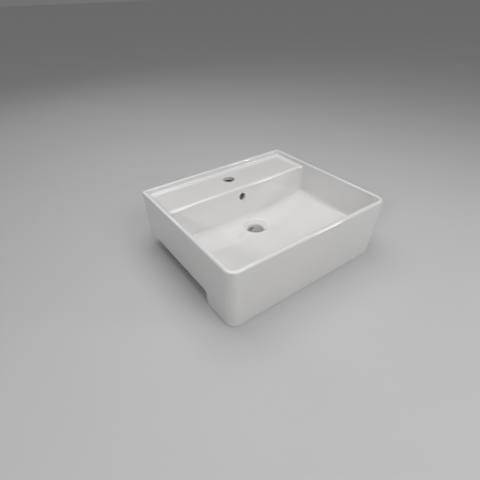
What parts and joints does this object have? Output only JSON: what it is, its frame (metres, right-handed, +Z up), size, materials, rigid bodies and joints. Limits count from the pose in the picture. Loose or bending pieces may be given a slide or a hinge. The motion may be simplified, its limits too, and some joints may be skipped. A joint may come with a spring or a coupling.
{
  "type": "semi-recessed basin",
  "caption": "Rectangular semi-recessed ceramic basin with a dished bowl, recessed tap deck, overflow, stepped underside and threaded counter clamps.",
  "frame": {"origin": "on the waste hole's axis, at the height of the counter top that the basin stands on", "axes": "+X to the right seen from the front, +Y towards the wall, +Z up"},
  "size_m": [0.4998, 0.4395, 0.175],
  "materials": {
    "glazed_ceramic": "gloss",
    "nylon": "satin",
    "zinc_steel": "satin",
    "rubber": "matte"
  },
  "bodies": {
    "root": {"basin_body": "glazed_ceramic", "left_anchor": "nylon", "right_anchor": "nylon", "left_stud": "zinc_steel", "right_stud": "zinc_steel"},
    "left_carrier": {"left_washer": "zinc_steel"},
    "left_bar": {"left_clamp_bar": "zinc_steel", "left_clamp_pad": "rubber"},
    "left_nut_body": {"left_nut": "zinc_steel"},
    "right_carrier": {"right_washer": "zinc_steel"},
    "right_bar": {"right_clamp_bar": "zinc_steel", "right_clamp_pad": "rubber"},
    "right_nut_body": {"right_nut": "zinc_steel"}
  },
  "joints": [
    {"name": "left_clamp_travel", "type": "slide", "parent": "root", "child": "left_carrier", "axis": [0, 0, 1], "range_m": [-0.005, 0]},
    {"name": "left_bar_swing", "type": "hinge", "parent": "left_carrier", "child": "left_bar", "pos_m": [-0.195, 0, -0.0245], "axis": [0, 0, 1], "continuous": true},
    {"name": "left_nut_turn", "type": "hinge", "parent": "left_carrier", "child": "left_nut_body", "pos_m": [-0.195, 0, -0.031], "axis": [0, 0, 1], "range_deg": [-1442, 0]},
    {"name": "right_clamp_travel", "type": "slide", "parent": "root", "child": "right_carrier", "axis": [0, 0, 1], "range_m": [-0.005, 0]},
    {"name": "right_bar_swing", "type": "hinge", "parent": "right_carrier", "child": "right_bar", "pos_m": [0.195, 0, -0.0245], "axis": [0, 0, 1], "continuous": true},
    {"name": "right_nut_turn", "type": "hinge", "parent": "right_carrier", "child": "right_nut_body", "pos_m": [0.195, 0, -0.031], "axis": [0, 0, 1], "range_deg": [-1442, 0]}
  ],
  "couplings": [
    {"joint": "left_nut_turn", "follows": "left_clamp_travel", "rad_per_m": 5026.5},
    {"joint": "right_nut_turn", "follows": "right_clamp_travel", "rad_per_m": 5026.5}
  ]
}
